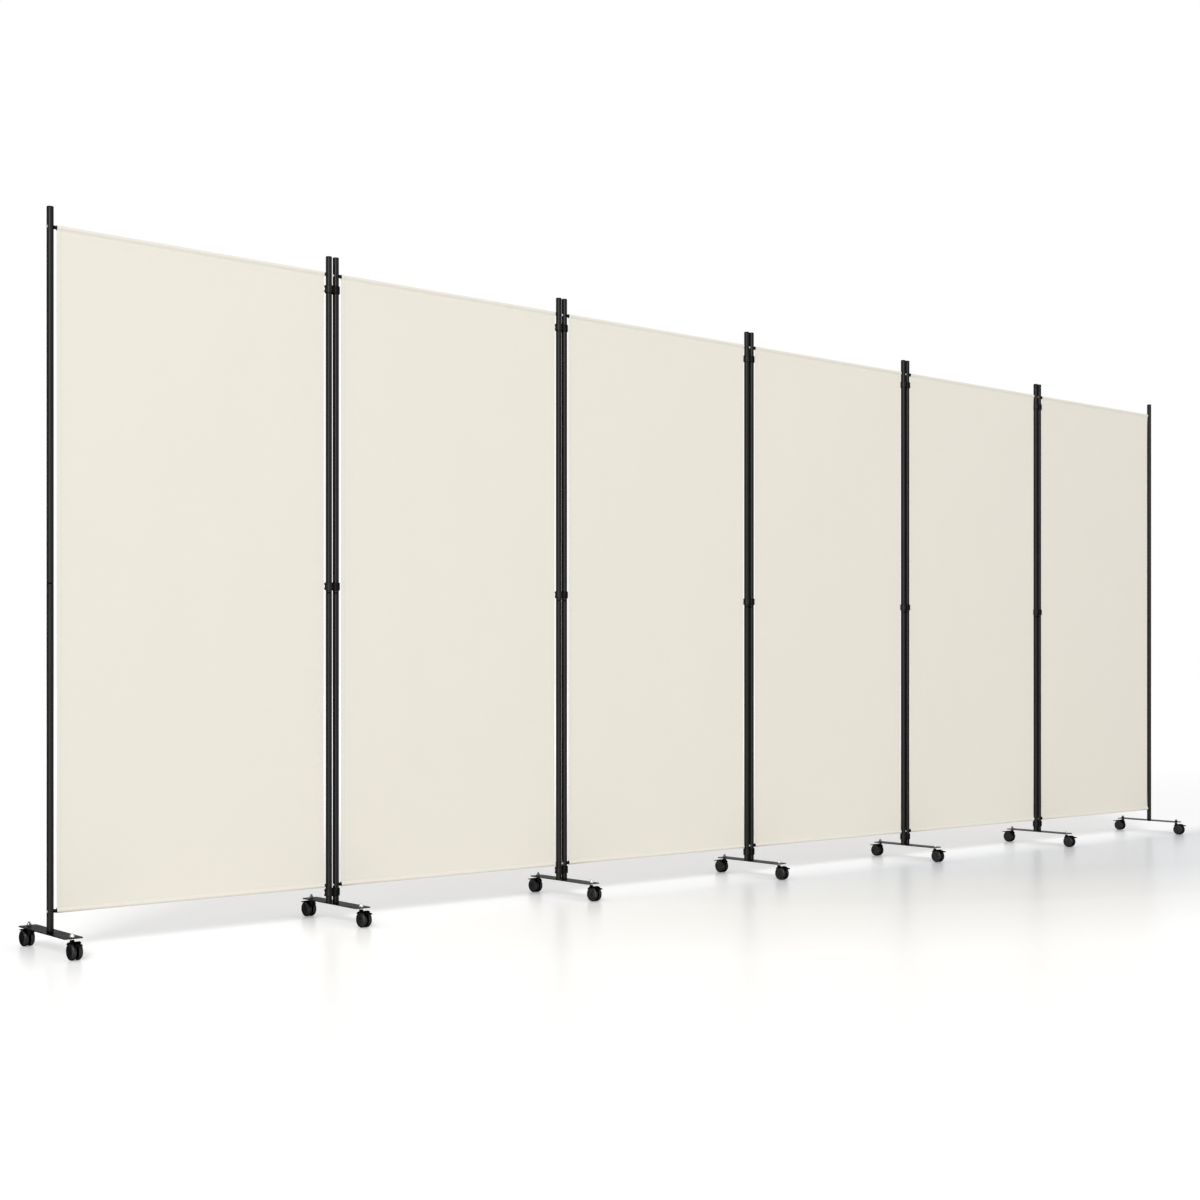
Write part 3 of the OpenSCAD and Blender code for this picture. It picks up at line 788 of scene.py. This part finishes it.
def bake(tree, guide, settings, name):
    helper = bpy.data.objects.new("guide", guide)
    bpy.context.scene.collection.objects.link(helper)
    modifier = helper.modifiers.new("tree", "NODES")
    modifier.node_group = tree
    for item in tree.interface.items_tree:
        if item.in_out == "INPUT" and item.name in settings:
            modifier[item.identifier] = settings[item.name]
    helper.update_tag()
    graph = bpy.context.evaluated_depsgraph_get()
    made = bpy.data.meshes.new_from_object(helper.evaluated_get(graph))
    made.name = name
    bpy.data.objects.remove(helper)
    bpy.data.meshes.remove(guide)
    piece = bpy.data.objects.new(name, made)
    bpy.context.scene.collection.objects.link(piece)
    return piece


def guide_of_lines(lines):
    """A mesh of loose edges that runs along each of the given lines of points."""
    points, edges = [], []
    for each in lines:
        first = len(points)
        points += [tuple(map(float, p)) for p in each]
        edges += [(first + i, first + i + 1) for i in range(len(each) - 1)]
    guide = bpy.data.meshes.new("lines")
    guide.from_pydata(points, edges, [])
    return guide


print("a guide of one line has", len(guide_of_lines([[(0, 0, 0), (0, 0, 1)]]).edges), "edge")

# %% Thread for the seams


def thread_finish(name):
    material, bench = new_finish(name)
    place = object_place(bench)
    twist = bench.noise(place, 4000.0, 1.0)
    shade = bench.blend(twist, colour(214, 209, 195), colour(232, 228, 215))
    close_finish(bench, twist * 0.00003, 0.5, Base_Color=shade, Roughness=0.75,
                 Specular_IOR_Level=0.3)
    return material


sewing_thread = thread_finish("polyester_thread")
print("thread finish:", sewing_thread.name)

# %% Sew every panel


def seam_lines(k):
    """Where the needle went on panel k: both side hems and both pocket seams, front and back."""
    outer, inner, _ = cloth_surfaces(k)
    hems = [int(np.argmin(abs(columns - s))) for s in (HEM_STITCH, CLOTH_WIDTH - HEM_STITCH)]
    flap, end = len(FLAP_STOPS), len(line)
    first = flap + POCKET_POINTS
    last = end - first - 1
    lines = [outer[:, c] for c in hems] + [inner[first:last + 1, c] for c in hems]
    lines += [outer[row, 2:-2] for row in (first, last, flap - 1, end - flap)]
    return lines


stitches = {}
for k in PANELS:
    settings = {"Thread": sewing_thread, "Seed": 10 + k}
    stitches[k] = bake(sewing, guide_of_lines(seam_lines(k)), settings, f"panel_{k}_stitches")
faces = len(stitches[1].data.polygons)
print("stitches on panel 1:", faces // (STITCH_SEGMENTS * STITCH_RINGS))

# %% [markdown]
# ## Threads on the caster stems
# The CAD stems are plain cylinders, because cut threads help nothing there. What shows is a few
# turns above each nut. A spiral curve with a small four-sided section, half sunk in the stem, is
# the thread itself, and the tree repeats it at every stem of a foot.

# %% A tree that cuts threads
COIL_STEPS = 22
SECTION_SIDES = 4
SECTION_SHARE = 0.3


def thread_tree():
    tree, bench, given = new_tree("cut_threads", [
        ("Stem radius", "NodeSocketFloat", 0.003),
        ("Pitch", "NodeSocketFloat", 0.001),
        ("Turns", "NodeSocketFloat", 4.0),
        ("Zinc", "NodeSocketMaterial", None),
    ])
    coil = bench.put("GeometryNodeCurveSpiral", values={
        "Resolution": COIL_STEPS, "Rotations": given["Turns"], "Start Radius": given["Stem radius"],
        "End Radius": given["Stem radius"], "Height": given["Turns"] * given["Pitch"],
    })
    section = bench.put("GeometryNodeCurvePrimitiveCircle", values={
        "Resolution": SECTION_SIDES, "Radius": given["Pitch"] * SECTION_SHARE,
    })
    ridge = bench.put("GeometryNodeCurveToMesh", values={
        "Curve": coil, "Profile Curve": section, "Fill Caps": True,
    })
    placed = bench.put("GeometryNodeInstanceOnPoints", values={
        "Points": given["Geometry"], "Instance": ridge,
    })
    real = bench.put("GeometryNodeRealizeInstances", values={"Geometry": placed})
    done = bench.put("GeometryNodeSetMaterial", values={"Geometry": real, "Material": given["Zinc"]})
    bench.put("NodeGroupOutput", values={"Geometry": done})
    return tree


threading = thread_tree()
print("thread tree:", len(threading.nodes), "nodes")

# %% Zinc for the threads


def zinc_finish(name):
    material, bench = new_finish(name)
    place = object_place(bench)
    spangle = bench.noise(place, 700.0, 2.0, 0.7)
    # The threads behind the cloth get the same painted shade as their stems.
    shade = stem_zinc_with_shade(bench, bench.split(place)[1], spangle)
    close_finish(bench, spangle * 0.00001, 0.5, Base_Color=shade, Metallic=1.0,
                 Roughness=0.28 + (spangle - 0.5) * 0.16)
    return material


zinc = zinc_finish("bright_zinc")
print("zinc finish:", zinc.name)

# %% Cut the threads of every foot
NUT_H = 0.005
THREAD_SUNK = 0.0002
TURNS_SHOWN = 3.6


def stem_points(k):
    """Just above the nuts of panel k's feet."""
    feet = [first_post + (k - 1) * STEP]
    if k == PANELS[-1]:
        feet.append(feet[0] + PANEL_PITCH)
    start = plate_top + NUT_H - THREAD_SUNK
    return [(x, side * STEM_OFFSET, start) for x in feet for side in (-1, 1)]


stem_threads = {}
for k in PANELS:
    guide = bpy.data.meshes.new("points")
    guide.from_pydata(stem_points(k), [], [])
    settings = {"Turns": TURNS_SHOWN, "Zinc": zinc}
    stem_threads[k] = bake(threading, guide, settings, f"panel_{k}_threads")
print("threads on panel 1:", len(stem_threads[1].data.polygons), "faces")

# %% [markdown]
# ## Everything moves with its body
# Each new piece rides on its panel, and the cloth stands for the CAD cloth. The cut size of the
# cloth is its line, with 6 mm turned in at each flap, by its width with a hem folded in on each side.

# %% Hang the pieces on their panels
for k in PANELS:
    body = f"panel_{k}"
    slots = ((cloths[k], "cloth"), (stitches[k], "cloth"), (stem_threads[k], "foot_paint"))
    for piece, slot in slots:
        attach(piece, body)
    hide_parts(f"panel_{k}_fabric")

# %% [markdown]
# ## The floor
# The photograph was taken on a seamless white floor with a slight sheen. It is lit as any floor
# is, and cameras and mirrors see it a little paler than that. So it is white in the light and
# pale grey in the shade of the cloth, and it still takes the shadows of the row. In the
# photograph it is greyest about the far end of the row and turns white further out, where it
# meets the white surround without an edge, so how much paler it looks grows with that distance.
# The distance counts more across the row than along it, which makes ovals of the bands.
# Just in front of the far end the floor is painted light grey, although the light falls on it:
# that place gets no extra paleness and a greyer white, as painted shade and a painted reflection of
# the row.

# %% Say where the floor looks paler
ALONG_SHARE = 0.8
ACROSS_SHARE = 1.8
FRONT_FROM = 0.04
FRONT_FADE = 0.2
FRONT_SHADE_WITHIN = 2.5
FRONT_SHADE_FADE = 1.0
NOT_PALER_WITHIN = 3.4
NOT_PALER_FADE = 1.05
PALER_FROM = 1.5
PALER_OVER = 11.0
print("the floor looks palest", PALER_FROM + PALER_OVER, "m from the far end of the row")

# %% Lay the floor
FLOOR_REACH = 60.0
FLOOR_BELOW = 0.0002
NOT_PALER = (0.0, 0.0, 0.0, 1.0)
PALER_NEAR = (0.105, 0.105, 0.105, 1.0)
PALER_FAR = (0.32, 0.32, 0.32, 1.0)
WHITE_IN_THE_LIGHT = colour(243, 243, 244)
WHITE_AS_SEEN = colour(254, 254, 254)
PAINTED_SHADE_IN_FRONT = colour(230, 233, 238)


def seen_directly(bench):
    """1 for rays from the camera, from mirrors and through glass, 0 for rays that carry light."""
    rays = bench.put("ShaderNodeLightPath").socket.node
    seen = Wire(bench, rays.outputs["Is Camera Ray"])
    for other in ("Is Glossy Ray", "Is Transmission Ray"):
        seen = seen.math("MAXIMUM", Wire(bench, rays.outputs[other]))
    return seen


def studio_floor(name):
    """White in the light; as seen it changes with an oval distance from the row's far end, with
    painted shade in front of that end.
    """
    material, bench = new_finish(name)
    seen = seen_directly(bench)
    x, y, _ = bench.split(object_place(bench))
    away = radius((x - cad_high[0]) * ALONG_SHARE, y * ACROSS_SHARE)
    in_front = ramp(FRONT_FROM - y, FRONT_FADE)
    front_shade = ramp(FRONT_SHADE_WITHIN - away, FRONT_SHADE_FADE) * in_front
    as_seen = bench.blend(front_shade, WHITE_AS_SEEN, PAINTED_SHADE_IN_FRONT)
    paler = bench.blend(ramp(away - PALER_FROM, PALER_OVER), PALER_NEAR, PALER_FAR)
    # Painted shade and painted reflection of the row: in front of the far end the floor gets no extra
    # paleness and a greyer white.
    paler_share = seen * (1.0 - ramp(NOT_PALER_WITHIN - away, NOT_PALER_FADE) * in_front)
    close_finish(
        bench, Base_Color=bench.blend(seen, WHITE_IN_THE_LIGHT, as_seen), Roughness=0.30,
        Specular_IOR_Level=0.14, Emission_Strength=1.0,
        Emission_Color=bench.blend(paler_share, NOT_PALER, paler),
    )
    return material


floor_mesh = bpy.data.meshes.new("floor")
corners = [(x * FLOOR_REACH, y * FLOOR_REACH, -FLOOR_BELOW)
           for x, y in ((-1, -1), (1, -1), (1, 1), (-1, 1))]
floor_mesh.from_pydata(corners, [], [(0, 1, 2, 3)])
floor = add_piece("studio_floor", floor_mesh, studio_floor("white_floor"))
print("floor laid:", floor.name)

# %% [markdown]
# ## Light
# A white surround gives most of the light. One large soft box stands far off to the front left,
# some thirty degrees up. Where the shade of the cloth begins on the floor behind the row says
# how high the light came from, and the cloth grows darker from the top left to the bottom right,
# which says that the box was not endlessly far away.

# %% Light the studio
AIM_HEIGHT = 0.9
ROW_MIDDLE = ((cad_low[0] + cad_high[0]) / 2, 0.0, AIM_HEIGHT)


def studio_world(strength):
    world = bpy.data.worlds.new("studio")
    bpy.context.scene.world = world
    world.use_nodes = True
    world.node_tree.nodes.clear()
    bench = Bench(world.node_tree)
    light = bench.mix(seen_directly(bench), strength, 1.0)
    glow = bench.put("ShaderNodeBackground", values={"Color": (1, 1, 1, 1), "Strength": light})
    bench.put("ShaderNodeOutputWorld", values={"Surface": glow})


def soft_box(name, azimuth, elevation, distance, width, light):
    """A round soft box that looks at the row; light is what a facing surface at the row gets.

    The azimuth is counted in degrees from the front towards the left.
    """
    around, up = math.radians(azimuth), math.radians(elevation)
    data = bpy.data.lights.new(name, "AREA")
    data.shape, data.size = "DISK", width
    data.energy = light * math.pi * distance ** 2
    lamp = bpy.data.objects.new(name, data)
    lamp.location = (
        ROW_MIDDLE[0] - distance * math.cos(up) * math.sin(around),
        ROW_MIDDLE[1] - distance * math.cos(up) * math.cos(around),
        ROW_MIDDLE[2] + distance * math.sin(up),
    )
    lamp.rotation_euler = (math.pi / 2 - up, 0, -around)
    bpy.context.scene.collection.objects.link(lamp)
    return lamp


studio_world(strength=0.57)
lamp = soft_box("soft_key", azimuth=45, elevation=29.5, distance=28.0, width=9.9, light=1.70)
print("lamp:", lamp.name, "at", [round(c, 2) for c in lamp.location])

# %% [markdown]
# ## The camera
# The photograph was taken level, from the left end of the row, a little above knee height. The
# straight edges of the posts and bars gave the place and the lens. Upright posts stay parallel
# in it, which means a level camera, and the row sits low in the frame through a lens shift. The
# numbers in pixels are for the photograph's 1200 by 1200.

# %% Set up the camera
IMAGE_PX = 1200
FOCAL_PX = 1738.06
CENTRE_COLUMN_PX = 600.5
HORIZON_ROW_PX = 670.104
SENSOR_MM = 36.0
LEFT_OF_FIRST_POST = 1.66168
BEFORE_THE_ROW = 3.88981
EYE_HEIGHT = 0.65606
YAW = 0.7104

view_data = bpy.data.cameras.new("camera")
view_data.sensor_width = SENSOR_MM
view_data.lens = SENSOR_MM * FOCAL_PX / IMAGE_PX
view_data.shift_x = 0.5 - CENTRE_COLUMN_PX / IMAGE_PX
view_data.shift_y = HORIZON_ROW_PX / IMAGE_PX - 0.5
view_data.clip_end = 200.0
camera = bpy.data.objects.new("camera", view_data)
camera.location = (first_post - LEFT_OF_FIRST_POST, -BEFORE_THE_ROW, EYE_HEIGHT)
camera.rotation_euler = (math.pi / 2, 0.0, -YAW)
bpy.context.scene.collection.objects.link(camera)
bpy.context.scene.camera = camera
bpy.context.scene.view_settings.view_transform = "Standard"
print(f"lens {view_data.lens:.2f} mm, shift {view_data.shift_y:.4f}")

# %% [markdown]
# ## The sizes
# Dressing the row doesn't change its size.
